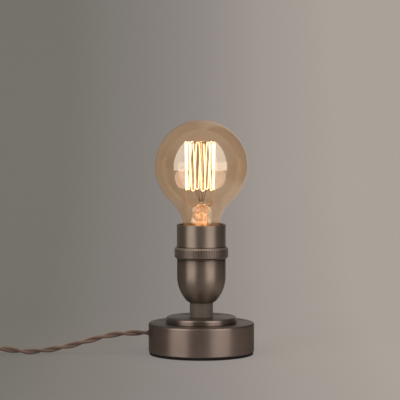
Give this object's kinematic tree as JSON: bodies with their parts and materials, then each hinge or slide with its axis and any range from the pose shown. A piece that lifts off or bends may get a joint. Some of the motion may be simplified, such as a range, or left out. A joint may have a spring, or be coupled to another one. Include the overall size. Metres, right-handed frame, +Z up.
{
  "type": "table lamp",
  "caption": "Table lamp with a bare globe bulb: a round weighted base, a thin disc, a short stem and a cup screw lampholder, on a twisted flex with switch and plug.",
  "frame": {"origin": "centre of the underside of the base pad, on the table", "axes": "+Z up along the lamp; the flex leaves the base towards -X; the lamp is round, so +Y is only away from the viewer"},
  "size_m": [0.4336, 0.1021, 0.2041],
  "materials": {
    "felt": "matt felt",
    "bronze_base": "satin dark bronze",
    "bronze_disc": "satin dark bronze",
    "bronze_stem": "satin dark bronze",
    "bronze_cup": "satin dark bronze",
    "bronze_ring": "satin dark bronze",
    "bronze_skirt": "satin dark bronze",
    "steel": "plain zinc-plated",
    "iron": "as cast",
    "porcelain": "glazed white",
    "brass": "bright",
    "cap_brass": "bright",
    "solder": "dull",
    "black_glass": "gloss black",
    "amber_glass": "clear amber",
    "clear_glass": "clear",
    "carbon_filament": "glowing",
    "support_wire": "dull",
    "bush_rubber": "matt",
    "core_sleeve": "matt",
    "braid": "woven braid over rubber",
    "switch_plastic": "satin",
    "plug_plastic": "satin",
    "pin_brass": "nickel-plated"
  },
  "bodies": {
    "lamp": {"base_pad": "felt", "base_shell": "bronze_base", "bottom_plate": "steel", "plate_screws": "steel", "base_weight": "iron", "threaded_tube": "steel", "base_washer": "steel", "base_nut": "steel", "holder_washer": "steel", "holder_nut": "steel", "gallery_disc": "bronze_disc", "stem_spacer": "bronze_stem", "holder_cup": "bronze_cup", "holder_ring": "bronze_ring", "holder_skirt": "bronze_skirt", "ceramic_insert": "porcelain", "terminal_blocks": "brass", "terminal_screws": "steel", "centre_contact": "brass", "screw_shell": "brass", "cord_bush": "bush_rubber", "cord_stop": "bush_rubber", "core_live": "core_sleeve", "core_neutral": "core_sleeve", "cord_lead": "braid", "cord_link": "braid", "cord_coil": "braid", "cord_tail": "braid", "switch_base": "switch_plastic", "switch_cover": "switch_plastic", "switch_screws": "steel", "switch_contacts": "brass", "plug_body": "plug_plastic", "plug_pins": "pin_brass"},
    "bulb_tip": {"bulb_contact": "solder"},
    "bulb": {"bulb_insulator": "black_glass", "bulb_cap": "cap_brass", "bulb_glass": "amber_glass", "glass_mount": "clear_glass", "glass_rod": "clear_glass", "filament": "carbon_filament", "upper_supports": "support_wire", "lower_supports": "support_wire", "lead_in_wires": "support_wire"},
    "rocker": {"switch_rocker": "switch_plastic"}
  },
  "joints": [
    {"name": "bulb_lift", "type": "slide", "parent": "lamp", "child": "bulb_tip", "axis": [0, 0, 1], "range_m": [0, 0.0146]},
    {"name": "bulb_turn", "type": "hinge", "parent": "bulb_tip", "child": "bulb", "pos_m": [0, 0, 0.0825], "axis": [0, 0, 1], "range_deg": [0, 1440]},
    {"name": "switch_rock", "type": "hinge", "parent": "lamp", "child": "rocker", "pos_m": [-0.2171, -0.01791, 0.011], "axis": [0.1736, -0.9848, 0], "range_deg": [0, 16]}
  ],
  "couplings": [
    {"joint": "bulb_lift", "follows": "bulb_turn", "m_per_rad": 0.00057757}
  ]
}
